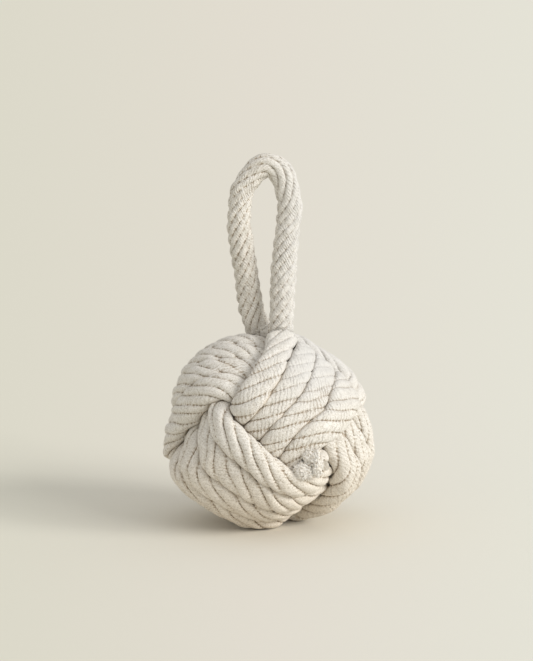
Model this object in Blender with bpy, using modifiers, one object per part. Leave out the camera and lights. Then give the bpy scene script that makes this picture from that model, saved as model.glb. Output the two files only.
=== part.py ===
"""Rope knot doorstop: a ball knot of thick cotton rope round a bag of sand, with a rope loop to carry it by.

One rope makes it all. It winds four times round each of three crossing directions, and each set of turns
lies over the next set on two faces of the ball and under the last set on two others, so that the three sets
lock one another. Between the first set and the second the rope stands out of the top as the loop.
Units are metres, with +Z up and the floor at zero.
"""
from math import cos, pi, radians, sin

import bmesh
import bpy
import numpy as np

# Driving sizes.
ROPE_WIDTH = 0.018
KNOT_ROPE_WIDTH = 0.0164
CORE_WIDTH = 0.0745
CORE_HEIGHT = 0.070
FLOOR_SLACK = 0.0008
ROPE_GAP = 0.0010
JOINT_GAP = 0.0003
LEAST_GAP = 0.0004

# How the turns lie: the free width between two ropes of a set, and how far a set stands off its middle.
LANE_SLACK = {"first": 0.0026, "second": 0.0012, "third": 0.0014}
LANE_SHIFT = {"first": 0.005, "second": -0.001, "third": -0.002}
# How far the ropes of a set drift sideways before and after the middle of a face.
LANE_SWAY = {"first": (0.001, -0.005), "second": (-0.004, 0.0), "third": (0.0, 0.006)}
POINTS_PER_TURN = 24
START_SCALE = 1.25

# The three axes that the sets wind round, as an upright trio leaning a little to the back.
FACE_TILT = 54.7356
FACE_AZIMUTHS = (186.0, 306.0, 66.0)
LEAN = 4.4
LEAN_AZIMUTH = 71.0

# Each set winds round the axis "spin", starting at an angle from one of the other axes towards the last one.
# An axis is given by its number and its sign, and "climb" is the way the turns step along "spin".
SETS = {
    "first": {"spin": 1, "from": (2, 1), "to": (0, 1), "climb": 1, "start": 120, "sweep": 1365},
    "second": {"spin": 0, "from": (1, 1), "to": (2, -1), "climb": -1, "start": -45, "sweep": 1440},
    "third": {"spin": 2, "from": (0, -1), "to": (1, -1), "climb": -1, "start": -45, "sweep": 1440},
}
# How steeply a rope rises from under another set to over it, and the closest that a turn's lane may come in.
RISE = 2.2
CLOSEST_TURN = 0.001
# How many points a set gives up where the rope leaves it, and how many a bridge puts in their place.
FIRST_GIVES_UP = 4
SECOND_GIVES_UP = 3
CORNER_GIVES_UP = 2
BRIDGE_COUNT = 3
BRIDGE_PULL = 0.7
SPLICE_COUNT = 3
# The frayed end comes out of the front of the knot here, measured from the knot's middle.
CUT_END = (0.0270, -0.0580, -0.0128)

# The loop's centreline, as (x, y, height over the knot's top), up the left leg, over, and down the right.
LEFT_LEG = ((-0.0105, 0.0195, 0.0019), (-0.0154, 0.0120, 0.0354), (-0.0203, 0.0060, 0.0694))
LOOP_TOP = (
    (-0.0213, 0.004, 0.0834),
    (-0.0207, 0.004, 0.0984),
    (-0.0167, 0.004, 0.1114),
    (-0.0034, 0.004, 0.1249),
    (0.0085, 0.004, 0.1194),
    (0.0142, 0.004, 0.1014),
    (0.0146, 0.004, 0.0884),
)
RIGHT_LEG = ((0.0123, 0.0020, 0.0694), (0.0094, -0.0010, 0.0354), (0.0088, -0.0040, 0.0019))
LOOP_STEP = 0.007
TILT_HEIGHT = 0.022
LEAN_HEIGHT = 0.050

# The weight in the middle.
BAG_CLEARANCE = 0.0006
BAG_WALL = 0.0012
BAG_NECK_RADIUS = 0.0070
BAG_FLARE = 0.0025
SAND_SHARE = 0.50
SHOULDER_SHARE = 0.60
NECK_SHARE = 0.78
MOUTH_SHARE = 0.90
TWINE_WIDTH = 0.0018
TWINE_TURNS = 2

ROUND_SIDES = 4
LOOP_SIDES = 1
TURNED_STEPS = 32
OUTLINE_STEPS = 20
CURVE_STEPS = 12
BRIDGE_STEPS = 60
SHARP_EDGE = 70
WELD = 1e-6

# The strength of each pull while the rope settles.
ROUNDS = 600
SETTLE_ROUNDS = 200
TENSION = 0.08
STIFFNESS = 0.05
HOMING = 0.03
PUSH = 1.3
REFRESH_EVERY = 10
# Samples to a segment while it settles and when the gap is measured, and how near two samples must lie to be
# looked at and how far apart along the rope to count as two stretches, both as shares of the rope's width.
SAMPLES = 4
FINE_SAMPLES = 16
NEAR_SHARE = 1.35
APART_SHARE = 2.4
STRAIGHT_SHARE = 1.02

KNOT_HEIGHT = CORE_HEIGHT / 2 + 2 * KNOT_ROPE_WIDTH + FLOOR_SLACK
KNOT_TOP = CORE_HEIGHT / 2 + 2 * KNOT_ROPE_WIDTH + KNOT_HEIGHT
FLOOR_CUT = KNOT_ROPE_WIDTH / 10

COTTON = (0.79, 0.74, 0.65)
CALICO = (0.70, 0.64, 0.52)
SAND = (0.55, 0.45, 0.30)
TWINE = (0.48, 0.36, 0.22)


# The rope's path.

def turned(axis, angle):
    """Return the matrix that turns by an angle about an axis."""
    a = np.asarray(axis, float) / np.linalg.norm(axis)
    k = np.array([[0, -a[2], a[1]], [a[2], 0, -a[0]], [-a[1], a[0], 0]])
    return np.eye(3) + sin(angle) * k + (1 - cos(angle)) * k @ k


def face_axes():
    """Return the three square axes, one to a row."""
    t = radians(FACE_TILT)
    rows = [(sin(t) * cos(radians(a)), sin(t) * sin(radians(a)), cos(t)) for a in FACE_AZIMUTHS]
    a = radians(LEAN_AZIMUTH)
    return np.array(rows) @ turned((-sin(a), cos(a), 0), radians(LEAN)).T


def turns(which, scale):
    """Return the points of one set, wound wide where it lies over another set and close where it lies under."""
    axes = face_axes()
    this = SETS[which]
    sweep = radians(this["sweep"])
    count = int(round(sweep / (2 * pi) * POINTS_PER_TURN))
    share = np.arange(count + 1) / count
    angle = radians(this["start"]) + sweep * share
    middle = CORE_WIDTH / 2 + KNOT_ROPE_WIDTH
    reach = (middle + KNOT_ROPE_WIDTH / 2 * np.clip(RISE * np.cos(2 * angle), -1, 1)) * scale
    half = (KNOT_ROPE_WIDTH + LANE_SLACK[which]) * sweep / (4 * pi)
    side = np.sin(2 * angle)
    before, after = LANE_SWAY[which]
    lane = this["climb"] * half * (2 * share - 1) + LANE_SHIFT[which]
    lane = lane + np.where(side < 0, -side * before, side * after)
    radius = np.sqrt(np.maximum(reach ** 2 - lane ** 2, CLOSEST_TURN ** 2))
    (a, sign_a), (b, sign_b) = this["from"], this["to"]
    points = np.outer(lane, axes[this["spin"]])
    points += np.outer(sign_a * radius * np.cos(angle), axes[a])
    points += np.outer(sign_b * radius * np.sin(angle), axes[b])
    return points + np.array([0, 0, KNOT_HEIGHT])


def resampled(points, count):
    """Return a line's points spaced evenly along it."""
    along = np.concatenate([[0], np.cumsum(np.linalg.norm(np.diff(points, axis=0), axis=1))])
    wanted = np.linspace(0, along[-1], count)
    return np.stack([np.interp(wanted, along, points[:, k]) for k in range(3)], axis=1)


def bridge(before, after):
    """Return the points of a smooth stretch from the end of one line to the start of the next."""
    gap = np.linalg.norm(after[0] - before[-1]) * BRIDGE_PULL
    go = (before[-1] - before[-2]) / np.linalg.norm(before[-1] - before[-2]) * gap
    come = (after[1] - after[0]) / np.linalg.norm(after[1] - after[0]) * gap
    t = np.linspace(0, 1, BRIDGE_STEPS)[:, None]
    line = (2 * t ** 3 - 3 * t ** 2 + 1) * before[-1] + (t ** 3 - 2 * t ** 2 + t) * go
    line = line + (3 * t ** 2 - 2 * t ** 3) * after[0] + (t ** 3 - t ** 2) * come
    return resampled(line, BRIDGE_COUNT + 2)[1:-1]


def through(points):
    """Return a smooth line through the points."""
    p = np.vstack([2 * points[0] - points[1], points, 2 * points[-1] - points[-2]])
    line = []
    for i in range(1, len(p) - 2):
        a, b, c, d = p[i - 1:i + 3]
        for k in range(CURVE_STEPS):
            t = k / CURVE_STEPS
            rest = (2 * a - 5 * b + 4 * c - d) * t * t + (3 * b - a - 3 * c + d) * t ** 3
            line.append(0.5 * (2 * b + (c - a) * t + rest))
    line.append(p[-2])
    return np.array(line)


def loop():
    """Return the loop's points: two straight runs for each leg, and a smooth bend between the legs."""
    left, top, right = (np.array(part) + (0, 0, KNOT_TOP) for part in (LEFT_LEG, LOOP_TOP, RIGHT_LEG))
    line = through(np.vstack([left[-2:], top, right[:2]]))[CURVE_STEPS:-CURVE_STEPS]
    length = np.linalg.norm(np.diff(line, axis=0), axis=1).sum()
    count = int(round(length / LOOP_STEP)) + 1
    return np.vstack([left[:-1], resampled(line, count), right[1:]])


def path_at(scale):
    """Return the whole rope with its turns wound at a scale, and where each stretch of it starts."""
    first = turns("first", scale)[:-FIRST_GIVES_UP]
    second = turns("second", scale)[SECOND_GIVES_UP:-CORNER_GIVES_UP]
    third = turns("third", scale)[CORNER_GIVES_UP:-1]
    third[-1] = np.array(CUT_END) + (0, 0, KNOT_HEIGHT)
    handle = loop()
    stretches = [first, bridge(first, handle), handle, bridge(handle, second)]
    stretches += [second, bridge(second, third), third]
    return np.vstack(stretches), np.cumsum([0] + [len(s) for s in stretches])


def close_pairs(points, within):
    """Return the pairs of points that lie within a distance of each other, found on a grid of cells."""
    cell = np.floor(points / within).astype(np.int64)
    cell -= cell.min(0)
    size = cell.max(0) + 3
    key = ((cell[:, 0] + 1) * size[1] + cell[:, 1] + 1) * size[2] + cell[:, 2] + 1
    order = np.argsort(key, kind="stable")
    in_order = key[order]
    steps = [(x * size[1] + y) * size[2] + z for x in (-1, 0, 1) for y in (-1, 0, 1) for z in (-1, 0, 1)]
    found = []
    for step in steps:
        low = np.searchsorted(in_order, key + step, "left")
        many = np.searchsorted(in_order, key + step, "right") - low
        i = np.repeat(np.arange(len(points)), many)
        j = order[np.repeat(low, many) + np.arange(len(i)) - np.repeat(np.cumsum(many) - many, many)]
        found.append(np.stack([i, j])[:, i < j])
    i, j = np.hstack(found)
    near = ((points[i] - points[j]) ** 2).sum(1) < within ** 2
    return i[near], j[near]


def samples(p, per_segment):
    """Return samples spread along a path: their segment, their share of it, their place and their arc length."""
    segment = np.repeat(np.arange(len(p) - 1), per_segment)
    share = np.tile((np.arange(per_segment) + 0.5) / per_segment, len(p) - 1)
    place = (1 - share)[:, None] * p[segment] + share[:, None] * p[segment + 1]
    arc = np.concatenate([[0], np.cumsum(np.linalg.norm(np.diff(p, axis=0), axis=1))])
    return segment, share, place, arc[segment] + share * (arc[segment + 1] - arc[segment])


def apart(p, segment, share, i, j, width, fixed):
    """Push the samples of each pair apart where the rope would run into itself."""
    weight = np.stack([1 - share, share])
    place = weight[0][:, None] * p[segment] + weight[1][:, None] * p[segment + 1]
    between = place[i] - place[j]
    distance = np.sqrt((between ** 2).sum(1))
    wanted = (width[segment[i]] + width[segment[j]]) / 2
    hit = distance < wanted
    a, b = i[hit], j[hit]
    norm = (weight ** 2).sum(0)
    push = between[hit] * ((wanted[hit] - distance[hit]) / distance[hit] / (norm[a] + norm[b]))[:, None]
    move = np.zeros_like(p)
    count = np.zeros(len(p))
    for who, sign in ((a, 1), (b, -1)):
        for end in (0, 1):
            at = segment[who] + end
            for axis in range(3):
                move[:, axis] += np.bincount(at, sign * weight[end][who] * push[:, axis], len(p))
            count += np.bincount(at, weight[end][who], len(p))
    move = PUSH * move / np.maximum(count, 1)[:, None]
    move[fixed] = 0
    return p + move


def pulled(p, home, across, fixed):
    """Pull the rope straight and smooth, towards the place where it was laid."""
    pull = np.zeros_like(p)
    pull[1:-1] = TENSION * ((p[:-2] + p[2:]) / 2 - p[1:-1])
    pull[2:-2] -= STIFFNESS * (p[:-4] - 4 * p[1:-3] + 6 * p[2:-2] - 4 * p[3:-1] + p[4:]) / 16
    pull -= (pull * across).sum(1)[:, None] * across
    pull += HOMING * (home - p)
    pull[fixed] = 0
    return p + pull


def straightened(p, at):
    """Hold the rope straight for one width on each side of a point."""
    middle = (p[at - 1] + p[at + 1]) / 2
    along = (p[at + 1] - p[at - 1]) / 2
    along = along * max(1, STRAIGHT_SHARE * KNOT_ROPE_WIDTH / np.linalg.norm(along))
    p[at - 1], p[at], p[at + 1] = middle - along, middle, middle + along


def settled(p, home, starts):
    """Draw the turns tight round the core until they lie on it, on the floor and against one another."""
    fixed = np.zeros(len(p), bool)
    fixed[starts[2]:starts[3]] = True
    fixed[-1] = True
    width = np.full(len(p), KNOT_ROPE_WIDTH + ROPE_GAP)
    width[starts[2]:starts[3]] = ROPE_WIDTH + ROPE_GAP
    centre = np.array([0, 0, KNOT_HEIGHT])
    reach = (np.array([CORE_WIDTH, CORE_WIDTH, CORE_HEIGHT]) + KNOT_ROPE_WIDTH) / 2 + ROPE_GAP
    across = np.zeros((len(p), 3))
    for start, stop, spin in ((0, 1, "first"), (4, 5, "second"), (6, 7, "third")):
        across[starts[start]:starts[stop]] = face_axes()[SETS[spin]["spin"]]
    for k in range(ROUNDS + SETTLE_ROUNDS):
        if k < ROUNDS:
            p = pulled(p, home, across, fixed)
        if k % REFRESH_EVERY == 0:
            segment, share, place, arc = samples(p, SAMPLES)
            i, j = close_pairs(place, NEAR_SHARE * (ROPE_WIDTH + ROPE_GAP))
            far = np.abs(arc[i] - arc[j]) > APART_SHARE * (ROPE_WIDTH + ROPE_GAP)
            i, j = i[far], j[far]
        for _ in range(2):
            p = apart(p, segment, share, i, j, width, fixed)
            size = np.sqrt((((p - centre) / reach) ** 2).sum(1))
            inside = (size < 1) & ~fixed
            p[inside] = centre + (p[inside] - centre) / size[inside, None]
            p[:, 2] = np.maximum(p[:, 2], KNOT_ROPE_WIDTH / 2 - FLOOR_CUT)
            straightened(p, starts[5] - SPLICE_COUNT)
    return p


def rope_widths(count, starts):
    """Return the rope's width at each point: squeezed in the knot, at its full width in the loop."""
    width = np.full(count, KNOT_ROPE_WIDTH)
    width[starts[2] + 1:starts[3] - 1] = ROPE_WIDTH
    return width


def least_gap(p, width):
    """Return the smallest gap between two stretches of the rope."""
    segment, share, place, arc = samples(p, FINE_SAMPLES)
    i, j = close_pairs(place, NEAR_SHARE * ROPE_WIDTH)
    far = np.abs(arc[i] - arc[j]) > APART_SHARE * ROPE_WIDTH
    i, j = i[far], j[far]
    here = (1 - share) * width[segment] + share * width[segment + 1]
    gap = np.linalg.norm(place[i] - place[j], axis=1) - (here[i] + here[j]) / 2
    return gap.min()


# The stretches that the rope is divided into.

def cut_between(p, width, at):
    """Return the middle of a segment, its direction and the rope's width there."""
    along = (p[at + 1] - p[at]) / np.linalg.norm(p[at + 1] - p[at])
    return (p[at] + p[at + 1]) / 2, along, (width[at] + width[at + 1]) / 2


def stretch(p, width, first, last, start=None, stop=None):
    """Return the points and widths from one point to another, with a cut end on either side."""
    points = list(p[first:last + 1])
    widths = list(width[first:last + 1])
    if start:
        place, along, wide = start
        points.insert(0, place + along * JOINT_GAP / 2)
        widths.insert(0, wide)
    if stop:
        place, along, wide = stop
        points.append(place - along * JOINT_GAP / 2)
        widths.append(wide)
    return np.array(points), widths


def rope_stretches(p, starts):
    """Return the six stretches of the rope that are pieces of their own."""
    width = rope_widths(len(p), starts)
    low_left, high_left = (cut_between(p, width, starts[2] + k) for k in (0, 1))
    high_right, low_right = (cut_between(p, width, starts[3] - k) for k in (3, 2))
    at = starts[5] - SPLICE_COUNT
    along = (p[at + 1] - p[at]) / np.linalg.norm(p[at + 1] - p[at])
    splice = (p[at], along, KNOT_ROPE_WIDTH)
    return {
        "first_turns": stretch(p, width, 0, starts[2], stop=low_left),
        "left_neck": stretch(p, width, starts[2] + 1, starts[2] + 1, low_left, high_left),
        "handle_loop": stretch(p, width, starts[2] + 2, starts[3] - 3, high_left, high_right),
        "right_neck": stretch(p, width, starts[3] - 2, starts[3] - 2, high_right, low_right),
        "second_turns": stretch(p, width, starts[3] - 1, at - 1, low_right, splice),
        "third_turns": stretch(p, width, at + 1, len(p) - 1, splice),
    }


# Blender helpers.

def clear_scene():
    """Remove what the scene holds."""
    for thing in list(bpy.data.objects):
        bpy.data.objects.remove(thing, do_unlink=True)


def new_collection(name):
    """Return a new collection in the scene."""
    collection = bpy.data.collections.new(name)
    bpy.context.scene.collection.children.link(collection)
    return collection


def new_material(name, colour, roughness):
    """Return a plain material."""
    material = bpy.data.materials.new(name)
    material.use_nodes = True
    shader = material.node_tree.nodes["Principled BSDF"]
    shader.inputs["Base Color"].default_value = (*colour, 1)
    shader.inputs["Roughness"].default_value = roughness
    shader.inputs["Metallic"].default_value = 0
    return material


def place_object(name, data, collection, location, parent=None):
    """Link a new object, at a place in the world, under its parent."""
    thing = bpy.data.objects.new(name, data)
    collection.objects.link(thing)
    offset = np.array(location)
    if parent:
        thing.parent = parent
        offset = offset - np.array(parent["place"])
    thing.location = offset
    return thing


def pivot(name, collection, place, parent=None):
    """Add an empty on a joint's axis."""
    thing = place_object(name, None, collection, place, parent)
    thing.empty_display_size = ROPE_WIDTH
    thing["place"] = [float(v) for v in place]
    return thing


def tube(name, points, widths, sides, collection, origin, material, parent=None):
    """Add a tube along points, as a curve."""
    curve = bpy.data.curves.new(name, "CURVE")
    curve.dimensions = "3D"
    curve.bevel_depth = widths[0] / 2
    curve.bevel_resolution = sides
    curve.render_resolution_u = 0
    curve.use_fill_caps = True
    spline = curve.splines.new("POLY")
    spline.points.add(len(points) - 1)
    for knot, place, width in zip(spline.points, points - np.array(origin), widths):
        knot.co = (*place, 1)
        knot.radius = width / widths[0]
    spline.use_smooth = True
    curve.materials.append(material)
    return place_object(name, curve, collection, origin, parent)


def as_mesh(thing):
    """Turn a curve object into a welded mesh object of the same name."""
    bpy.context.view_layer.update()
    name = thing.name
    evaluated = thing.evaluated_get(bpy.context.evaluated_depsgraph_get())
    mesh = bpy.data.meshes.new_from_object(evaluated)
    shape = bmesh.new()
    shape.from_mesh(mesh)
    bmesh.ops.remove_doubles(shape, verts=shape.verts, dist=WELD)
    shape.to_mesh(mesh)
    shape.free()
    mesh.shade_smooth()
    mesh.set_sharp_from_angle(angle=radians(SHARP_EDGE))
    solid = bpy.data.objects.new(name, mesh)
    thing.users_collection[0].objects.link(solid)
    solid.matrix_world = thing.matrix_world.copy()
    bpy.data.objects.remove(thing, do_unlink=True)
    solid.name = name
    return solid


def cut_flat(thing, cutter):
    """Cut a solid flat with a cutter."""
    modifier = thing.modifiers.new("stand", "BOOLEAN")
    modifier.operation = "DIFFERENCE"
    modifier.solver = "EXACT"
    modifier.object = cutter


def turned_solid(name, profile, collection, origin, material, wall=0):
    """Add a profile of (radius, height) points, given from the top down, turned round the Z axis."""
    mesh = bpy.data.meshes.new(name)
    edges = [(k, k + 1) for k in range(len(profile) - 1)]
    mesh.from_pydata([(radius, 0, height) for radius, height in profile], edges, [])
    mesh.materials.append(material)
    thing = place_object(name, mesh, collection, origin)
    screw = thing.modifiers.new("turn", "SCREW")
    screw.axis = "Z"
    screw.steps = TURNED_STEPS
    screw.render_steps = TURNED_STEPS
    screw.use_merge_vertices = True
    screw.merge_threshold = WELD
    screw.use_smooth_shade = True
    if wall:
        solidify = thing.modifiers.new("wall", "SOLIDIFY")
        solidify.thickness = wall
        solidify.offset = -1
    return thing


# The pieces.

def floor_cutter(collection):
    """Add the box under the floor that the ropes are cut flat with."""
    bpy.ops.mesh.primitive_cube_add(size=1)
    cutter = bpy.context.object
    cutter.name = "floor_cutter"
    side = 4 * (CORE_WIDTH + KNOT_ROPE_WIDTH)
    cutter.scale = (side, side, KNOT_ROPE_WIDTH)
    cutter.location = (0, 0, -KNOT_ROPE_WIDTH / 2)
    for owner in list(cutter.users_collection):
        owner.objects.unlink(cutter)
    collection.objects.link(cutter)
    cutter.display_type = "WIRE"
    cutter.hide_render = True
    return cutter


def core_outline(inset, top_share):
    """Return the core's outline from a share of its height down to its lowest point, drawn in by an inset."""
    half_width = CORE_WIDTH / 2 - inset
    half_height = CORE_HEIGHT / 2 - inset
    top = np.arcsin(top_share)
    angles = np.linspace(top, -pi / 2, OUTLINE_STEPS)
    points = [(half_width * cos(a), half_height * sin(a)) for a in angles]
    points[-1] = (0, -half_height)
    return points


def add_core_bag(collection, origin, material):
    """Add the cloth bag, open at its gathered neck."""
    height = CORE_HEIGHT / 2
    mouth = (BAG_NECK_RADIUS + BAG_FLARE, MOUTH_SHARE * height)
    neck = (BAG_NECK_RADIUS, NECK_SHARE * height)
    body = core_outline(BAG_CLEARANCE, SHOULDER_SHARE)
    foot = (BAG_NECK_RADIUS + BAG_FLARE, (NECK_SHARE + SHOULDER_SHARE) / 2 * height)
    profile = [mouth, neck, foot] + body
    return turned_solid("core_bag", profile, collection, origin, material, wall=BAG_WALL)


def add_sand_fill(collection, origin, material):
    """Add the sand, which fills the bag up to its shoulder."""
    body = core_outline(BAG_CLEARANCE + BAG_WALL + JOINT_GAP, SAND_SHARE)
    profile = [(0, body[0][1])] + body
    return turned_solid("sand_fill", profile, collection, origin, material)


def add_bag_tie(collection, origin, material):
    """Add the twine, wound round the bag's neck."""
    count = TWINE_TURNS * POINTS_PER_TURN
    pitch = TWINE_WIDTH + LEAST_GAP + JOINT_GAP
    angle = 2 * pi * np.arange(count + 1) / POINTS_PER_TURN
    rise = pitch * (np.arange(count + 1) / POINTS_PER_TURN - TWINE_TURNS / 2)
    slope = BAG_FLARE / ((NECK_SHARE - SHOULDER_SHARE) * CORE_HEIGHT / 4)
    stand_off = TWINE_WIDTH / 2 * np.hypot(1, slope) + JOINT_GAP
    radius = BAG_NECK_RADIUS + stand_off + np.abs(rise) * slope
    height = NECK_SHARE * CORE_HEIGHT / 2 + rise
    points = np.stack([radius * np.cos(angle), radius * np.sin(angle), height], axis=1) + np.array(origin)
    widths = [TWINE_WIDTH] * len(points)
    return tube("bag_tie", points, widths, LOOP_SIDES, collection, origin, material)


def main():
    """Build the doorstop."""
    clear_scene()
    parts = new_collection("rope_knot_doorstop")
    cutters = new_collection("cutters")
    cotton = new_material("cotton_rope", COTTON, 0.9)
    calico = new_material("calico", CALICO, 0.95)
    sand = new_material("sand", SAND, 1.0)
    twine = new_material("twine", TWINE, 0.9)

    wide, starts = path_at(START_SCALE)
    home, _ = path_at(1.0)
    rope = settled(wide, home, starts)
    middle = (rope.min(0) + rope.max(0)) / 2 * (1, 1, 0)
    rope = rope - middle
    knot_centre = np.array([0, 0, KNOT_HEIGHT]) - middle
    gap = least_gap(rope, rope_widths(len(rope), starts))
    length = np.linalg.norm(np.diff(rope, axis=0), axis=1).sum()
    print(f"rope length {length:.3f} m, least gap {gap * 1000:.2f} mm, wanted {LEAST_GAP * 1000:.1f} mm")

    leg_middle = (rope[starts[2] + 1] + rope[starts[3] - 2]) / 2
    tilt = pivot("handle_tilt_pivot", parts, (leg_middle[0], leg_middle[1], KNOT_TOP + TILT_HEIGHT))
    lean = pivot("handle_lean_pivot", parts, (leg_middle[0], leg_middle[1], KNOT_TOP + LEAN_HEIGHT), tilt)
    cutter = floor_cutter(cutters)
    parents = {"left_neck": tilt, "right_neck": tilt, "handle_loop": lean}
    for name, (points, widths) in rope_stretches(rope, starts).items():
        parent = parents.get(name)
        if parent:
            tube(name, points, widths, ROUND_SIDES, parts, parent["place"], cotton, parent)
        else:
            thing = as_mesh(tube(name, points, widths, LOOP_SIDES, parts, knot_centre, cotton))
            cut_flat(thing, cutter)
    add_core_bag(parts, knot_centre, calico)
    add_sand_fill(parts, knot_centre, sand)
    add_bag_tie(parts, knot_centre, twine)


main()
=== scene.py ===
"""Rope knot doorstop, dressed: the braided rope's strands, its frayed end, the bag inside and the light."""
from math import cos, pi, radians, sin

import bpy
import numpy as np
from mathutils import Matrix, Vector

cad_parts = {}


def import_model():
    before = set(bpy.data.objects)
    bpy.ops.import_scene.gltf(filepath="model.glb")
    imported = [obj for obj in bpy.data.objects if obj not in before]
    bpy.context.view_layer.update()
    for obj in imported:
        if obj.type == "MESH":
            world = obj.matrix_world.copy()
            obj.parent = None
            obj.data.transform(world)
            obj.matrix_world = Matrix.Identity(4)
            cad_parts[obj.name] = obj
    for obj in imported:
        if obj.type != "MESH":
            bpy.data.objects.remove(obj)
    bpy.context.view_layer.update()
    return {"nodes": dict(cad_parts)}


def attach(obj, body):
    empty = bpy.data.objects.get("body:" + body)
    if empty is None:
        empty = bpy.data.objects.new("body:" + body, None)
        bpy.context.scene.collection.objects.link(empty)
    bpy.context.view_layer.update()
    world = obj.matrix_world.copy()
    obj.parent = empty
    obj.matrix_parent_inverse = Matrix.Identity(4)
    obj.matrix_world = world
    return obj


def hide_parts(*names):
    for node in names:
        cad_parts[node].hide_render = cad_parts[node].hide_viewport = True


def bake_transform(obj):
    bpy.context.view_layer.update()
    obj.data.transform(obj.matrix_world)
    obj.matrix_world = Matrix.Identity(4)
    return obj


# The photograph's frame.
IMAGE_HEIGHT = 661
MM_PER_PIXEL = 0.72
CAMERA_ELEVATION = 9.0
CAMERA_DISTANCE = 1.9
SENSOR_HEIGHT = 36
CAMERA_SEES = (0.05, 50)
VIEW_CENTRE_X = -0.0016
VIEW_CENTRE_Z = 0.1425

# The light: a low soft key from the right and a little to the front, and an even sky.
KEY_ELEVATION = 24.0
KEY_STRENGTH = 2.22
KEY_PARTS = ((-20.0, 0.38), (-31.0, 0.34), (-47.0, 0.28))
KEY_SOFTNESS = 16.0
KEY_COLOUR = (1.0, 0.99, 0.97)
SKY_STRENGTH = 0.663
SKY_COLOUR = (1.0, 0.995, 0.985, 1)
FLOOR_SIDE = 40.0
# Painted light on the floor: its colour fans from dimmer at the left to brighter at the right.
FAN_CENTRE = 1.9
FAN_SPREAD = 4.7
FLOOR_PAINTED_LIGHT_LEFT = (0.752, 0.734, 0.632)
FLOOR_PAINTED_LIGHT_MIDDLE = (0.800, 0.762, 0.680)
FLOOR_PAINTED_LIGHT_RIGHT = (0.822, 0.812, 0.725)

# The rope's path, close to that of the solids.
ROPE_WIDTH = 0.018
KNOT_ROPE_WIDTH = 0.0164
CORE_WIDTH = 0.0745
CORE_HEIGHT = 0.070
FLOOR_SLACK = 0.0008
ROPE_GAP = 0.0010
LANE_SLACK = {"first": 0.0026, "second": 0.0012, "third": 0.0014}
LANE_SHIFT = {"first": 0.007, "second": -0.001, "third": -0.002}
LANE_SWAY = {"first": (0.001, -0.005), "second": (-0.004, 0.0), "third": (0.0, 0.006)}
CROSSING_SHARPNESS = 2.2
POINTS_PER_TURN = 24
START_SCALE = 1.25
FACE_TILT = 54.7356
FACE_AZIMUTHS = (186.0, 306.0, 66.0)
LEAN = 4.4
LEAN_AZIMUTH = 71.0
SETS = {
    "first": {"spin": 1, "from": (2, 1), "to": (0, 1), "climb": 1, "start": 120, "sweep": 1365},
    "second": {"spin": 0, "from": (1, 1), "to": (2, -1), "climb": -1, "start": -45, "sweep": 1440},
    "third": {"spin": 2, "from": (0, -1), "to": (1, -1), "climb": -1, "start": -45, "sweep": 1440},
}
FIRST_GIVES_UP = 4
SECOND_GIVES_UP = 3
CORNER_GIVES_UP = 2
BRIDGE_COUNT = 3
BRIDGE_PULL = 0.7
CURVE_STEPS = 60
SPLICE_COUNT = 3
SPLICE_STRETCH = 1.02
CUT_END = (0.0270, -0.0580, -0.0128)
LEFT_LEG = ((-0.0105, 0.0195, 0.0019), (-0.0154, 0.0120, 0.0354), (-0.0203, 0.0060, 0.0694))
LOOP_TOP = (
    (-0.0213, 0.004, 0.0834),
    (-0.0207, 0.004, 0.0984),
    (-0.0167, 0.004, 0.1114),
    (-0.0034, 0.004, 0.1249),
    (0.0085, 0.004, 0.1194),
    (0.0142, 0.004, 0.1014),
    (0.0146, 0.004, 0.0884),
)
RIGHT_LEG = ((0.0123, 0.0020, 0.0694), (0.0094, -0.0010, 0.0354), (0.0088, -0.0040, 0.0019))
LOOP_STEP = 0.007
ROUNDS = 600
SETTLE_ROUNDS = 200
TENSION = 0.08
STIFFNESS = 0.05
PUSH = 1.3
REFRESH_EVERY = 10
SAMPLES_PER_SEGMENT = 4
SEARCH_WIDTHS = 1.35
SAME_STRETCH_WIDTHS = 2.4
KNOT_HEIGHT = CORE_HEIGHT / 2 + 2 * KNOT_ROPE_WIDTH + FLOOR_SLACK
KNOT_TOP = CORE_HEIGHT / 2 + 2 * KNOT_ROPE_WIDTH + KNOT_HEIGHT
FLOOR_CUT = KNOT_ROPE_WIDTH / 10

# The dressed rope is soft: it settles closer than the solids' round tubes can, on a slightly wider ball.
SOFT_WIDTH = 0.0138
SOFT_SCALE = 1.09
HOMING = 0.10
FRAME_SHIFT = (-0.00025, -0.00512, 0.0)

# The rope's section. Values in threes are for the first, the second and the third set of turns.
OUTWARD_RADIUS = 0.0090
SIDEWAYS_RADIUS = 0.0113
CORNER_FULLNESS = (2.6, 3.3, 2.8)
LOOP_RADIUS = 0.0091
RADIUS_DRIFT = 0.00020
RADIUS_SPACING = 0.018
FINE_STEP = 0.0010
LOOP_FINE_STEP = 0.0007
HIDDEN_STEP = 0.0022
SHOWS_FROM = 0.052
AROUND = 72
CHANGE_PASSES = 30
LOOP_FADES_IN = (-0.3, 0.35)
LOOP_FADES_OUT = (-0.85, -0.35)

# Where neighbours press on the rope, and how the second set spreads near the top.
SAME_PLACE = 0.030
NEAR_MARGIN = 0.001
RINGS_AT_ONCE = 200
CONTACT_GAP = 0.00005
LEAST_REACH = 0.35
FACES_CORE = 0.2
LEANS_IN = 0.0004
PRESSED_BELOW = 0.98
SHOULDER_SPREAD = 0.0014
SHOULDER_HEIGHTS = (0.085, 0.110)
BROW = 0.0016
BROW_PLACE = -0.10
BROW_LENGTH = 0.35

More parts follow.
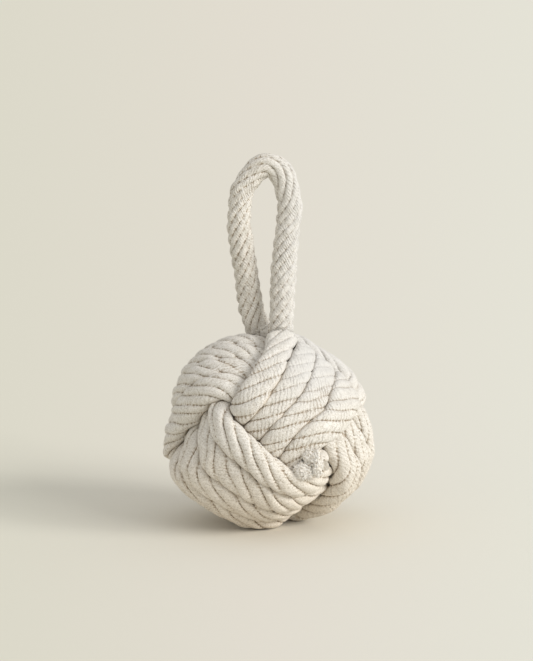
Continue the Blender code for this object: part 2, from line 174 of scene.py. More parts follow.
# The braid: strands each way, the lead of one strand, the depth of the grooves, and the crossing strands.
KNOT_STRANDS = 6
LOOP_STRANDS = 8
KNOT_FLOATS = 2
LOOP_FLOATS = 1
LEAD = (0.088, 0.070, 0.077)
LEAD_DRIFT = 0.08
LEAD_SPACING = 0.030
LOOP_LEAD = 0.070
BEND_LEAD = 0.135
BEND_PLACE = 0.006
BEND_LENGTH = 0.020
BEND_FLATTER = 0.9
GROOVE = (0.0027, 0.0016, 0.0023)
LOOP_GROOVE = 0.0021
CROSS_LIFT = 0.0010
CROSSING_GROOVE = 0.6
CROSSING_SINKS = 0.0005
HIDDEN_CROSSING_SINKS = 0.0009
BRAID_BLEND = 0.00012
CROSSING = (0.05, 0.30, 0.25)
LOOP_CROSSING = 0.70
TICKS = (0.45, 0.95, 0.40)
LOOP_TICKS = 0.95
RIGHT_SIDE = (0.0, 0.04)
CROSSING_LESS = 0.12
TICKS_MORE = 0.4
STRAND_FULLNESS = 2.6
STRAND_STEEPNESS = 0.55
PACKED = (0.55, 0.45)
STRAND_WOBBLE = 0.10
WOBBLE_SPACING = 0.012
LOOP_CALMER = 0.7
STRAND_SWELL = 0.00028
SWELL_SPACING = 0.010
WOOL = 0.00016
RELIEF_PRESSED = 0.80
RELIEF_FREED = 0.20

# Where the key washes the rope out at the upper right: shallower grooves, and painted light that makes their
# colour paler; and painted shade in dark dashes between the loop's strands.
LIT_WASHOUT_HEIGHTS = (0.092, 0.128)
LIT_WASHOUT_SIDE = (-0.010, 0.030)
LIT_WASHOUT_SHALLOWER = 0.5
LIT_WASHOUT_PAINTED_PALER = 0.5
# Painted light where neighbours press a rope: how squeezed it must be, and how much paler its groove colour
# gets.
VALLEY_FROM = 0.97
VALLEY_RANGE = 0.22
VALLEY_PAINTED_LIFT = 0.5
# How much lighter the loop's painted groove shade is.
LOOP_PALER = 0.65
# Painted shade between the loop's strands: dark dashes and thin seams.
DASH_DEPTH = 0.90
DASH_EDGE = (0.37, 0.47)
DASH_LENGTH = 0.40
DASH_USUAL = 0.85
DASH_UNEVEN = 0.30
DASH_LIMITS = (0.35, 1.15)
SEAM_DEPTH = 0.52
SEAM_WIDTH = 0.13

# How far soft rope gives way to the sides: height over the floor, shift of the left side and of the right.
GIVES_WAY = (
    (0.000, -0.0060, 0.0050),
    (0.011, -0.0060, 0.0034),
    (0.017, -0.0038, 0.0008),
    (0.028, -0.0060, 0.0043),
    (0.040, -0.0090, 0.0046),
    (0.050, -0.0080, 0.0054),
    (0.0634, -0.0015, 0.0028),
    (0.081, 0.0014, 0.0026),
    (0.0926, -0.0013, 0.0032),
    (0.102, -0.0028, -0.0018),
    (0.114, -0.0048, -0.0038),
    (0.126, -0.0060, -0.0068),
    (0.136, -0.0052, -0.0078),
    (0.160, 0.0, 0.0),
)
GIVES_WAY_FROM = 0.012
GIVES_WAY_TO = 0.055
DEEPER = 1.06
DEEPER_FADES = (0.112, 0.138)
ROUND_UNDER = 0.0030
UNDER_RADII = (0.012, 0.040)
UNDER_HEIGHT = 0.030

# The last front turn of the first set lies fat and high over the ends of the second set.
FAT_TURN = (64, 82)
FAT_SHIFT = 0.0020
FAT_SPREAD = 0.0165
FAT_FADE = 0.3
POINTS_AT_ONCE = 20000

# The frayed end of the rope: the middle and the size of each clump, and the knobs on it.
CLUMPS = (
    ((0.0246, -0.0636, 0.0532), (0.0086, 0.0080, 0.0072)),
    ((0.0336, -0.0640, 0.0590), (0.0048, 0.0078, 0.0112)),
    ((0.0292, -0.0632, 0.0635), (0.0066, 0.0073, 0.0066)),
)
CLUMP_BASE = 0.82
CLUMP_KNOBS = ((0.17, 60, 0.012), (0.10, 420, 0.0020))

# What stands off each clump: how many, how far out they start, length, width, curl and sides of a thread.
FRAY_THREADS = {
    "frayed_yarns": (110, 0.84, (0.0010, 0.0021), (0.0010, 0.0017), 0.6, 6),
    "frayed_fibres": (60, 0.90, (0.0012, 0.0034), (0.00010, 0.00020), 0.9, 3),
}
FRAY_WAY = (0.15, -0.93, 0.1)
FRAY_SPREAD = (0.9, 0.4, 0.9)

# The loose fibres all along the rope.
FUZZ_PER_METRE = 540
FUZZ_LENGTH = (0.0012, 0.0040)
FUZZ_WIDTH = (0.00008, 0.00015)
FUZZ_CURL = 0.8
FUZZ_LIFT = (0.25, 1.0)
FUZZ_SPREAD = 0.7
FUZZ_ROOT = 0.0002
FUZZ_SIDES = 3
HAIR_RINGS = 5
HAIR_TAPER = 0.75

# The cotton's fine pattern, in parts of a strand or as noise scales.
YARNS_ACROSS = 7.0
YARNS_ALONG = 0.9
YARN_HEIGHT = 0.8
STITCHES = 3.0
STITCH_WIDTH = 0.32
STITCH_SWAY = 1.6
STITCH_SWAY_SCALE = 260
STITCH_PATCHES = (0.38, 0.62)
STITCH_PATCH_SCALE = 170
STITCH_SHADE_SHARE = 0.40
STITCH_SINKS = 1.3
FUZZ_SCALE = 1100
PATCH_SCALE = 45
RAGGED = 0.9
# How fast the painted shade near the floor fades with height.
FLOOR_SHADE_SHARE = 12.0
PAINTED_VALLEY_SHADE_SHARE = 0.9
# Painted light at the upper right: where, and how much, the colour is evened to one pale tone as the key
# washes it out.
PAINTED_WASHOUT_HEIGHTS = (0.082, 0.128)
PAINTED_WASHOUT_SIDE = (-0.005, 0.030)
PAINTED_WASHOUT_SHARE = 0.82

# The cotton's colours.
WHITE = (1.0, 1.0, 1.0)
COTTON_SATURATION = 0.88
# Painted shade in the braid's grooves: dark and brown at a groove's bottom, pale on a strand's top.
GROOVE_SHADE_COLOURS = (
    (0.0, (0.38, 0.29, 0.20)),
    (0.22, (0.56, 0.47, 0.37)),
    (0.45, (0.84, 0.80, 0.74)),
    (0.62, (0.912, 0.885, 0.842)),
)
PATCH_COLOURS = ((0.3, (0.94, 0.932, 0.915)), (0.7, WHITE))
YARN_COLOURS = ((0.32, (0.86, 0.845, 0.815)), (0.55, WHITE))
SPECK_COLOURS = ((0.37, (0.64, 0.605, 0.55)), (0.52, WHITE))
# Painted shade in the stitches, the creases between yarns.
STITCH_SHADE_COLOUR = (0.60, 0.545, 0.47)
# Painted shade near the floor: warmer and darker low down.
FLOOR_SHADE_COLOURS = ((0.0, (1.0, 0.940, 0.850)), (0.50, (1.0, 0.970, 0.925)), (0.9, (0.975, 0.967, 0.950)))
# Painted shade between ropes, warm brown, multiplied in where neighbours press them.
PAINTED_VALLEY_SHADE_COLOUR = (0.98, 0.84, 0.67)
# The even pale tone of that painted light.
PAINTED_WASHOUT_COLOUR = (0.715, 0.697, 0.668)
FRAY_COLOURS = ((0.30, (0.72, 0.66, 0.57)), (0.52, (0.87, 0.84, 0.79)))
FRAY_SPOTS = ((0.32, (0.60, 0.50, 0.38)), (0.42, WHITE))

# What is inside: dark and light colour, noise scale and height of the grain.
INSIDE = {
    "core_bag": ("calico", (0.50, 0.44, 0.33), (0.72, 0.66, 0.54), 700, 0.0003),
    "sand_fill": ("sand", (0.32, 0.25, 0.16), (0.66, 0.55, 0.38), 2500, 0.0004),
    "bag_tie": ("twine", (0.30, 0.22, 0.13), (0.55, 0.43, 0.28), 1500, 0.0002),
}

# Heights where the rope is cut into the pieces of the loop's legs.
LOW_SEAM = 0.1405
HIGH_SEAM = 0.1750


# The rope's path.

def turned(axis, angle):
    a = np.asarray(axis, float) / np.linalg.norm(axis)
    k = np.array([[0, -a[2], a[1]], [a[2], 0, -a[0]], [-a[1], a[0], 0]])
    return np.eye(3) + sin(angle) * k + (1 - cos(angle)) * k @ k


def face_axes():
    t = radians(FACE_TILT)
    rows = [(sin(t) * cos(radians(a)), sin(t) * sin(radians(a)), cos(t)) for a in FACE_AZIMUTHS]
    a = radians(LEAN_AZIMUTH)
    return np.array(rows) @ turned((-sin(a), cos(a), 0), radians(LEAN)).T


def turns(which, scale):
    axes = face_axes()
    this = SETS[which]
    sweep = radians(this["sweep"])
    count = int(round(sweep / (2 * pi) * POINTS_PER_TURN))
    share = np.arange(count + 1) / count
    angle = radians(this["start"]) + sweep * share
    middle = CORE_WIDTH / 2 + KNOT_ROPE_WIDTH
    reach = (middle + KNOT_ROPE_WIDTH / 2 * np.clip(CROSSING_SHARPNESS * np.cos(2 * angle), -1, 1)) * scale
    half = (KNOT_ROPE_WIDTH + LANE_SLACK[which]) * sweep / (4 * pi)
    side = np.sin(2 * angle)
    before, after = LANE_SWAY[which]
    lane = this["climb"] * half * (2 * share - 1) + LANE_SHIFT[which]
    lane = lane + np.where(side < 0, -side * before, side * after)
    radius = np.sqrt(np.maximum(reach ** 2 - lane ** 2, 1e-6))
    (a, sign_a), (b, sign_b) = this["from"], this["to"]
    points = np.outer(lane, axes[this["spin"]])
    points += np.outer(sign_a * radius * np.cos(angle), axes[a])
    points += np.outer(sign_b * radius * np.sin(angle), axes[b])
    return points + np.array([0, 0, KNOT_HEIGHT])


def resampled(points, count):
    along = np.concatenate([[0], np.cumsum(np.linalg.norm(np.diff(points, axis=0), axis=1))])
    wanted = np.linspace(0, along[-1], count)
    return np.stack([np.interp(wanted, along, points[:, k]) for k in range(3)], axis=1)


def bridge(before, after):
    gap = np.linalg.norm(after[0] - before[-1]) * BRIDGE_PULL
    go = (before[-1] - before[-2]) / np.linalg.norm(before[-1] - before[-2]) * gap
    come = (after[1] - after[0]) / np.linalg.norm(after[1] - after[0]) * gap
    t = np.linspace(0, 1, CURVE_STEPS)[:, None]
    line = (2 * t ** 3 - 3 * t ** 2 + 1) * before[-1] + (t ** 3 - 2 * t ** 2 + t) * go
    line = line + (3 * t ** 2 - 2 * t ** 3) * after[0] + (t ** 3 - t ** 2) * come
    return resampled(line, BRIDGE_COUNT + 2)[1:-1]


def through(points, steps=12):
    p = np.vstack([2 * points[0] - points[1], points, 2 * points[-1] - points[-2]])
    line = []
    for i in range(1, len(p) - 2):
        a, b, c, d = p[i - 1:i + 3]
        for k in range(steps):
            t = k / steps
            rest = (2 * a - 5 * b + 4 * c - d) * t * t + (3 * b - a - 3 * c + d) * t ** 3
            line.append(0.5 * (2 * b + (c - a) * t + rest))
    line.append(p[-2])
    return np.array(line)


def loop():
    left, top, right = (np.array(part) + (0, 0, KNOT_TOP) for part in (LEFT_LEG, LOOP_TOP, RIGHT_LEG))
    line = through(np.vstack([left[-2:], top, right[:2]]))[12:-12]
    length = np.linalg.norm(np.diff(line, axis=0), axis=1).sum()
    count = int(round(length / LOOP_STEP)) + 1
    return np.vstack([left[:-1], resampled(line, count), right[1:]])


def path_at(scale):
    first = turns("first", scale)[:-FIRST_GIVES_UP]
    second = turns("second", scale)[SECOND_GIVES_UP:-CORNER_GIVES_UP]
    third = turns("third", scale)[CORNER_GIVES_UP:-1]
    third[-1] = np.array(CUT_END) + (0, 0, KNOT_HEIGHT)
    handle = loop()
    stretches = [first, bridge(first, handle), handle, bridge(handle, second)]
    stretches += [second, bridge(second, third), third]
    return np.vstack(stretches), np.cumsum([0] + [len(s) for s in stretches])


def close_pairs(points, within):
    cell = np.floor(points / within).astype(np.int64)
    cell -= cell.min(0)
    size = cell.max(0) + 3
    key = ((cell[:, 0] + 1) * size[1] + cell[:, 1] + 1) * size[2] + cell[:, 2] + 1
    order = np.argsort(key, kind="stable")
    in_order = key[order]
    steps = [(x * size[1] + y) * size[2] + z for x in (-1, 0, 1) for y in (-1, 0, 1) for z in (-1, 0, 1)]
    found = []
    for step in steps:
        low = np.searchsorted(in_order, key + step, "left")
        many = np.searchsorted(in_order, key + step, "right") - low
        i = np.repeat(np.arange(len(points)), many)
        j = order[np.repeat(low, many) + np.arange(len(i)) - np.repeat(np.cumsum(many) - many, many)]
        found.append(np.stack([i, j])[:, i < j])
    i, j = np.hstack(found)
    near = ((points[i] - points[j]) ** 2).sum(1) < within ** 2
    return i[near], j[near]


def samples(p, per_segment):
    segment = np.repeat(np.arange(len(p) - 1), per_segment)
    share = np.tile((np.arange(per_segment) + 0.5) / per_segment, len(p) - 1)
    place = (1 - share)[:, None] * p[segment] + share[:, None] * p[segment + 1]
    arc = np.concatenate([[0], np.cumsum(np.linalg.norm(np.diff(p, axis=0), axis=1))])
    return segment, share, place, arc[segment] + share * (arc[segment + 1] - arc[segment])


def apart(p, segment, share, i, j, width, fixed):
    weight = np.stack([1 - share, share])
    place = weight[0][:, None] * p[segment] + weight[1][:, None] * p[segment + 1]
    between = place[i] - place[j]
    distance = np.sqrt((between ** 2).sum(1))
    wanted = (width[segment[i]] + width[segment[j]]) / 2
    hit = distance < wanted
    a, b = i[hit], j[hit]
    norm = (weight ** 2).sum(0)
    push = between[hit] * ((wanted[hit] - distance[hit]) / distance[hit] / (norm[a] + norm[b]))[:, None]
    move = np.zeros_like(p)
    count = np.zeros(len(p))
    for who, sign in ((a, 1), (b, -1)):
        for end in (0, 1):
            at = segment[who] + end
            for axis in range(3):
                move[:, axis] += np.bincount(at, sign * weight[end][who] * push[:, axis], len(p))
            count += np.bincount(at, weight[end][who], len(p))
    move = PUSH * move / np.maximum(count, 1)[:, None]
    move[fixed] = 0
    return p + move


def pulled(p, home, across, fixed):
    pull = np.zeros_like(p)
    pull[1:-1] = TENSION * ((p[:-2] + p[2:]) / 2 - p[1:-1])
    pull[2:-2] -= STIFFNESS * (p[:-4] - 4 * p[1:-3] + 6 * p[2:-2] - 4 * p[3:-1] + p[4:]) / 16
    pull -= (pull * across).sum(1)[:, None] * across
    pull += HOMING * (home - p)
    pull[fixed] = 0
    return p + pull


def straightened(p, at):
    middle = (p[at - 1] + p[at + 1]) / 2
    along = (p[at + 1] - p[at - 1]) / 2
    along = along * max(1, SPLICE_STRETCH * KNOT_ROPE_WIDTH / np.linalg.norm(along))
    p[at - 1], p[at], p[at + 1] = middle - along, middle, middle + along


def settled(p, home, starts):
    fixed = np.zeros(len(p), bool)
    fixed[starts[2]:starts[3]] = True
    fixed[-1] = True
    width = np.full(len(p), SOFT_WIDTH + ROPE_GAP)
    width[starts[2]:starts[3]] = ROPE_WIDTH + ROPE_GAP
    centre = np.array([0, 0, KNOT_HEIGHT])
    reach = (np.array([CORE_WIDTH, CORE_WIDTH, CORE_HEIGHT]) + KNOT_ROPE_WIDTH) / 2 + ROPE_GAP
    across = np.zeros((len(p), 3))
    for start, stop, spin in ((0, 1, "first"), (4, 5, "second"), (6, 7, "third")):
        across[starts[start]:starts[stop]] = face_axes()[SETS[spin]["spin"]]
    for k in range(ROUNDS + SETTLE_ROUNDS):
        if k < ROUNDS:
            p = pulled(p, home, across, fixed)
        if k % REFRESH_EVERY == 0:
            segment, share, place, arc = samples(p, SAMPLES_PER_SEGMENT)
            i, j = close_pairs(place, SEARCH_WIDTHS * (ROPE_WIDTH + ROPE_GAP))
            far = np.abs(arc[i] - arc[j]) > SAME_STRETCH_WIDTHS * (ROPE_WIDTH + ROPE_GAP)
            i, j = i[far], j[far]
        for _ in range(2):
            p = apart(p, segment, share, i, j, width, fixed)
            size = np.sqrt((((p - centre) / reach) ** 2).sum(1))
            inside = (size < 1) & ~fixed
            p[inside] = centre + (p[inside] - centre) / size[inside, None]
            p[:, 2] = np.maximum(p[:, 2], KNOT_ROPE_WIDTH / 2 - FLOOR_CUT)
            straightened(p, starts[5] - SPLICE_COUNT)
    return p


# The dressed rope: rings of points round a fine centreline, squeezed by neighbours and raised into strands.

def fine_line(p, starts, centre):
    """Return a smooth centreline, with fine steps where it shows, and where on the path each step is."""
    steps = []
    at = []
    n = len(p)
    for i in range(n - 1):
        a, b, c, d = p[max(i - 1, 0)], p[i], p[i + 1], p[min(i + 2, n - 1)]
        in_loop = starts[2] <= i < starts[3] - 1
        shows = np.linalg.norm((b + c) / 2 - centre) > SHOWS_FROM
        step = LOOP_FINE_STEP if in_loop else FINE_STEP if shows else HIDDEN_STEP
        count = max(int(round(np.linalg.norm(c - b) / step)), 1)
        t = (np.arange(count) / count)[:, None]
        spline = ((1 - t) ** 3 * a + (3 * t ** 3 - 6 * t ** 2 + 4) * b) / 6
        spline = spline + ((-3 * t ** 3 + 3 * t ** 2 + 3 * t + 1) * c + t ** 3 * d) / 6
        steps.append(spline)
        at.append(i + t[:, 0])
    steps.append(p[-1:])
    at.append(np.array([n - 1.0]))
    return np.vstack(steps), np.concatenate(at)


def carried_frames(line):
    """Return two directions square to a line at each point, carried along it without twist."""
    along = np.gradient(line, axis=0)
    along /= np.linalg.norm(along, axis=1)[:, None]
    side = np.zeros_like(line)
    side[0] = np.cross(along[0], (0.31, 0.52, 0.79))
    side[0] /= np.linalg.norm(side[0])
    for k in range(1, len(line)):
        s = side[k - 1] - np.dot(side[k - 1], along[k]) * along[k]
        side[k] = s / np.linalg.norm(s)
    return side, np.cross(along, side)


def eased(values, start, stop):
    t = np.clip((values - start) / (stop - start), 0, 1)
    return t * t * (3 - 2 * t)


def squeezed(line, arc, out, radius):
    """Return how far the rope reaches each way before it meets a neighbour."""
    sparse = np.arange(0, len(line), 2)
    reach = radius.copy()
    limit = 2 * SIDEWAYS_RADIUS + NEAR_MARGIN
    for start in range(0, len(line), RINGS_AT_ONCE):
        part = slice(start, min(start + RINGS_AT_ONCE, len(line)))
        between = line[sparse][None] - line[part][:, None]
        distance = np.sqrt((between ** 2).sum(2))
        far = np.abs(arc[sparse][None] - arc[part][:, None]) > SAME_PLACE
        i, j = np.nonzero((distance < limit) & far)
        if len(i) == 0:
            continue
        d = between[i, j]
        half = (d ** 2).sum(1) / 2
        towards = np.einsum("nk,nmk->nm", d, out[part][i])
        with np.errstate(divide="ignore", invalid="ignore"):
            stop = np.where(towards > 1e-5, half[:, None] / towards, 1.0)
        first = np.concatenate([[0], np.nonzero(np.diff(i))[0] + 1])
        nearest = np.minimum.reduceat(stop, first, axis=0)
        rows = start + i[first]
        reach[rows] = np.minimum(reach[rows], nearest - CONTACT_GAP)
    return np.maximum(reach, LEAST_REACH * radius)


def smoothed(values, passes, around=False):
    """Return values evened out along the rope, and round it too if asked."""
    for _ in range(passes):
        values[1:-1] = (values[:-2] + 2 * values[1:-1] + values[2:]) / 4
        if around:
            values = (np.roll(values, 1, axis=1) + 2 * values + np.roll(values, -1, axis=1)) / 4
    return values


def drift(rng, along, spacing, rows):
    """Return rows of smooth random values along a length, each with a spread of about one."""
    count = int(along[-1] / spacing) + 4
    table = rng.normal(size=(rows, count))
    x = along / spacing + 1
    k = np.clip(x.astype(int), 1, count - 3)
    t = x - k
    w = [(1 - t) ** 3, 3 * t ** 3 - 6 * t ** 2 + 4, -3 * t ** 3 + 3 * t ** 2 + 3 * t + 1, t ** 3]
    return sum(table[:, k - 1 + n] * w[n] for n in range(4)) / 6 * 1.5


def strand_shares(strands):
    """Return the places round a ring for a strand count, closer together near the grooves."""
    each = AROUND // strands
    even = np.arange(each) / each - 0.5
    packed = 0.5 * np.sin(pi * even)
    share = PACKED[0] * even + PACKED[1] * packed
    return np.concatenate([(k + 0.5 + share) / strands for k in range(strands)])


def rounded(share):
    """Return the height across a strand: a full round top with steep sides."""
    return np.maximum(1 - np.abs(2 * share) ** STRAND_FULLNESS, 0) ** STRAND_STEEPNESS


def give_way(points, p, centre):
    """Return points moved as soft rope gives way: at the sides, underneath, in depth and in the fat turn."""
    flat = points.reshape(-1, 3)
    heights, left, right = np.array(GIVES_WAY).T
    x, z = flat[:, 0], flat[:, 2]
    moved = flat.copy()
    to_left = eased(-x, GIVES_WAY_FROM, GIVES_WAY_TO) * np.interp(z, heights, left)
    to_right = eased(x, GIVES_WAY_FROM, GIVES_WAY_TO) * np.interp(z, heights, right)
    moved[:, 0] += to_left + to_right
    off_axis = np.hypot(x - centre[0], flat[:, 1] - centre[1])
    moved[:, 2] += ROUND_UNDER * eased(off_axis, *UNDER_RADII) * (1 - eased(z, 0.0, UNDER_HEIGHT))
    moved[:, 1] += (DEEPER - 1) * (1 - eased(z, *DEEPER_FADES)) * (flat[:, 1] - centre[1])
    first, last = FAT_TURN
    turn = p[first:last]
    along = np.gradient(turn, axis=0)
    way = np.cross(turn - centre, along)
    way /= np.linalg.norm(way, axis=1)[:, None]
    way *= np.sign(way[len(way) // 2, 2])
    ends = np.sin(pi * (np.arange(len(turn)) + 0.5) / len(turn)) ** 0.5
    for start in range(0, len(flat), POINTS_AT_ONCE):
        part = slice(start, start + POINTS_AT_ONCE)
        square = ((flat[part, None] - turn) ** 2).sum(2)
        near = ends * np.exp(-square / FAT_SPREAD ** 2)
        moved[part] += FAT_SHIFT * (near @ way) / (near.sum(1) + FAT_FADE)[:, None]
    return moved.reshape(points.shape)


def braid(share, turn, strands, floats, wobble, swell, cross, groove):
    """Return a braid's height, how much of the crossing strands shows, and the count of strands both ways."""
    a = share * strands + 1e-6
    i = np.floor(a).astype(int) % strands
    u = a - np.floor(a) - 0.5
    b = (share + wobble) * strands + 2 * strands * turn
    j = np.floor(b)
    v = b - j - 0.5
    over = np.cos(pi * (b + i - 0.5 * floats) / floats)
    under = np.cos(pi * (a + j - 1.5 * floats) / floats)
    top = rounded(u)
    cross_top = rounded(v)
    rows = np.arange(len(share))[:, None]
    lay = -groove * (1 - top) + cross * CROSS_LIFT * (over - 1) / 2 + STRAND_SWELL * swell[i, rows] * top
    crossing = -CROSSING_GROOVE * groove * (1 - cross_top) + CROSS_LIFT * (under - 1) / 2
    crossing = crossing - CROSSING_SINKS - HIDDEN_CROSSING_SINKS * (1 - cross)
    height = BRAID_BLEND * np.logaddexp(lay / BRAID_BLEND, crossing / BRAID_BLEND)
    shown = 1 / (1 + np.exp(np.clip((lay - crossing) / BRAID_BLEND, -30, 30)))
    return height, shown, a, b


def per_ring(values):
    """Return a column with one value for each ring, which changes softly from set to set."""
    return smoothed(values[:, None], CHANGE_PASSES)


def lay_of(rng, arc, which, in_loop, bend):
    """Return the places round each ring, how far the braid has turned there, and how its strands stray."""
    lead = np.array(LEAD)[which]
    lead = lead + (LOOP_LEAD - lead) * in_loop + (BEND_LEAD - LOOP_LEAD) * bend
    lead = lead * (1 + LEAD_DRIFT * drift(rng, arc, LEAD_SPACING, 1)[0] * (1 - in_loop))
    turn = np.concatenate([[0], np.cumsum(np.diff(arc) / lead[:-1])])
    w = in_loop[:, None]
    few, many = strand_shares(KNOT_STRANDS), strand_shares(LOOP_STRANDS)
    share = (1 - w) * few + w * many
    sideways = drift(rng, arc, WOBBLE_SPACING, KNOT_STRANDS).T * STRAND_WOBBLE / KNOT_STRANDS
    sideways = np.concatenate([sideways, sideways[:, :1]], axis=1)
    place = few * KNOT_STRANDS
    k = np.floor(place + 1e-9).astype(int)
    part = place - k
    wobble = (sideways[:, k] * (1 - part) + sideways[:, k + 1] * part) * (1 - LOOP_CALMER * w)
    return share, turn[:, None], wobble


def section(rng, line, arc, out, which, w, brow, centre):
    """Return how far the rope reaches all round each ring where neighbours press it, and how far it would."""
    from_core = line - centre
    distance = np.linalg.norm(from_core, axis=1)
    outward = (out * (from_core / distance[:, None])[:, None]).sum(2)
    sideways = np.sqrt(np.maximum(1 - outward ** 2, 0))
    fullness = per_ring(np.array(CORNER_FULLNESS)[which])
    wide = per_ring(SIDEWAYS_RADIUS + SHOULDER_SPREAD * (which == 1) * eased(line[:, 2], *SHOULDER_HEIGHTS))
    radius = (np.abs(outward) / OUTWARD_RADIUS) ** fullness
    radius = (radius + (sideways / wide) ** fullness) ** (-1 / fullness)
    radius = (radius + BROW * brow[:, None]) * (1 - w) + LOOP_RADIUS * w
    radius = radius + RADIUS_DRIFT * drift(rng, arc, RADIUS_SPACING, 1).T
    reach = squeezed(line, arc, out, radius)
    room = (distance - CORE_WIDTH / 2)[:, None]
    inward = np.maximum(-outward, FACES_CORE)
    reach = np.where(outward < -FACES_CORE, np.minimum(reach, room / inward), reach)
    reach = reach + LEANS_IN * ((which == 1)[:, None] & (reach < PRESSED_BELOW * radius))
    return smoothed(reach, 2, True), radius


def dashes(a, b, swell):
    """Return the painted shade of the loop's braid between strands: uneven dark dashes, and thin dark seams
    the other way.
    """
    between = np.abs(b - np.round(b))
    dash = DASH_DEPTH * eased(np.abs(a - np.floor(a) - 0.5), *DASH_EDGE)
    dash = dash * np.exp(-(between / DASH_LENGTH) ** 4)
    strand = np.floor(a).astype(int) % LOOP_STRANDS
    uneven = np.clip(DASH_USUAL + DASH_UNEVEN * swell[strand, np.arange(len(a))[:, None]], *DASH_LIMITS)
    return np.maximum(dash * uneven, SEAM_DEPTH * np.exp(-(between / SEAM_WIDTH) ** 2))


def rope_surface(p, starts, centre):
    """Return the rings of the dressed rope and what the shader needs of each point."""
    rng = np.random.default_rng(11)
    line, at = fine_line(p, starts, centre)
    arc = np.concatenate([[0], np.cumsum(np.linalg.norm(np.diff(line, axis=0), axis=1))])
    side, up = carried_frames(line)
    before_loop = eased(at, *(starts[2] + np.array(LOOP_FADES_IN)))
    after_loop = eased(at, *(starts[3] + np.array(LOOP_FADES_OUT)))
    in_loop = before_loop * (1 - after_loop)
    top = line[:, 2].argmax()
    bend = np.exp(-((arc - arc[top] - BEND_PLACE) / BEND_LENGTH) ** 2)
    brow = np.exp(-((at - starts[3] - BROW_PLACE) / BROW_LENGTH) ** 2)
    which = np.select([at < starts[4], at < starts[6]], [0, 1], 2)
    w = in_loop[:, None]
    share, turn, wobble = lay_of(rng, arc, which, in_loop, bend)
    angle = 2 * pi * (share + turn + wobble)
    out = np.cos(angle)[..., None] * side[:, None] + np.sin(angle)[..., None] * up[:, None]
    reach, radius = section(rng, line, arc, out, which, w, brow, centre)

    at_right = eased(line[:, 0], *RIGHT_SIDE) * (which == 2)
    cross = np.array(CROSSING)[which] - CROSSING_LESS * at_right
    cross = per_ring((cross + (LOOP_CROSSING - cross) * in_loop) * (1 - BEND_FLATTER * bend))
    ticks = np.array(TICKS)[which] + TICKS_MORE * at_right
    ticks = per_ring(ticks + (LOOP_TICKS - ticks) * in_loop)
    # Where the key washes the rope out at the upper right: shallower grooves there, and painted light on
    # their colour.
    lit_washout = eased(line[:, 2], *LIT_WASHOUT_HEIGHTS) * eased(line[:, 0], *LIT_WASHOUT_SIDE) * (1 - in_loop)
    groove = per_ring(np.array(GROOVE)[which] * (1 - LIT_WASHOUT_SHALLOWER * lit_washout))
    groove = groove + (LOOP_GROOVE - groove) * w + (GROOVE[2] - LOOP_GROOVE) * bend[:, None]
    swell = drift(rng, arc, SWELL_SPACING, LOOP_STRANDS)
    knot = braid(share, turn, KNOT_STRANDS, KNOT_FLOATS, wobble, swell, cross, groove)
    loose = braid(share, turn, LOOP_STRANDS, LOOP_FLOATS, wobble, swell, cross, groove)
    height, shown = ((1 - w) * knot[k] + w * loose[k] for k in (0, 1))
    a, b = (np.where(w > 0.5, loose[k], knot[k]) for k in (2, 3))
    slack = np.clip(reach / radius, 0, 1)
    valley = np.clip((VALLEY_FROM - slack) / VALLEY_RANGE, 0, 1) * (1 - w)
    height = height + WOOL * smoothed(rng.normal(size=height.shape), 1, True) * slack
    points = line[:, None] + out * (reach + height * (RELIEF_PRESSED + RELIEF_FREED * slack ** 2))[..., None]
    points[..., 2] = np.maximum(points[..., 2], 0.0)
    # The place on the groove colours: painted shade deep in the grooves and in the loop's dashes, lifted by
    # painted light where ropes press together and at the upper right.
    depth = 1 + (height / groove) * (1 - LOOP_PALER * w) - dashes(loose[2], loose[3], swell) * w
    depth = np.clip(depth + VALLEY_PAINTED_LIFT * valley + LIT_WASHOUT_PAINTED_PALER * lit_washout[:, None], 0, 1)
    return {
        "points": give_way(points, p, centre),
        "line": give_way(line, p, centre),
        "arc": arc,
        "at": at,
        "depth": depth,
        "shown": shown,
        "ticks": np.repeat(ticks, AROUND, axis=1),
        "valley": valley,
        "a": a,
        "b": b,
        "strands": np.where(in_loop > 0.5, LOOP_STRANDS, KNOT_STRANDS),
    }


def fuzz(surface, first, last, seed):
    """Return short loose fibres that stand off the rope between two rings."""
    rng = np.random.default_rng(seed)
    count = int(FUZZ_PER_METRE * (surface["arc"][last] - surface["arc"][first]))
    ring = rng.integers(first + 1, last, count)
    column = rng.integers(0, AROUND, count)
    roots = surface["points"][ring, column]
    off = roots - surface["line"][ring]
    off /= np.linalg.norm(off, axis=1)[:, None]
    ways = off * rng.uniform(*FUZZ_LIFT, (count, 1)) + rng.normal(size=(count, 3)) * FUZZ_SPREAD
    ways /= np.linalg.norm(ways, axis=1)[:, None]
    length, width = rng.uniform(*FUZZ_LENGTH, count), rng.uniform(*FUZZ_WIDTH, count)
    return hairs(rng, roots - off * FUZZ_ROOT, ways, length, width, FUZZ_CURL, FUZZ_SIDES)


def mesh_of(name, verts, loops, sizes, smooth):
    """Return a mesh from its vertices, all its faces' corners in a row, and each face's number of them."""
    mesh = bpy.data.meshes.new(name)
    mesh.vertices.add(len(verts))
    mesh.vertices.foreach_set("co", verts.astype(np.float32).ravel())
    mesh.loops.add(len(loops))
    mesh.loops.foreach_set("vertex_index", loops.astype(np.int32))
    mesh.polygons.add(len(sizes))
    mesh.polygons.foreach_set("loop_start", np.concatenate([[0], np.cumsum(sizes)[:-1]]).astype(np.int32))
    mesh.polygons.foreach_set("loop_total", sizes.astype(np.int32))
    mesh.polygons.foreach_set("use_smooth", smooth)
    mesh.update(calc_edges=True)
    return mesh


def added(mesh, material):
    """Add a mesh to the scene as a piece of one material."""
    mesh.materials.append(material)
    mesh.validate()
    thing = bpy.data.objects.new(mesh.name, mesh)
    bpy.context.scene.collection.objects.link(thing)
    return thing


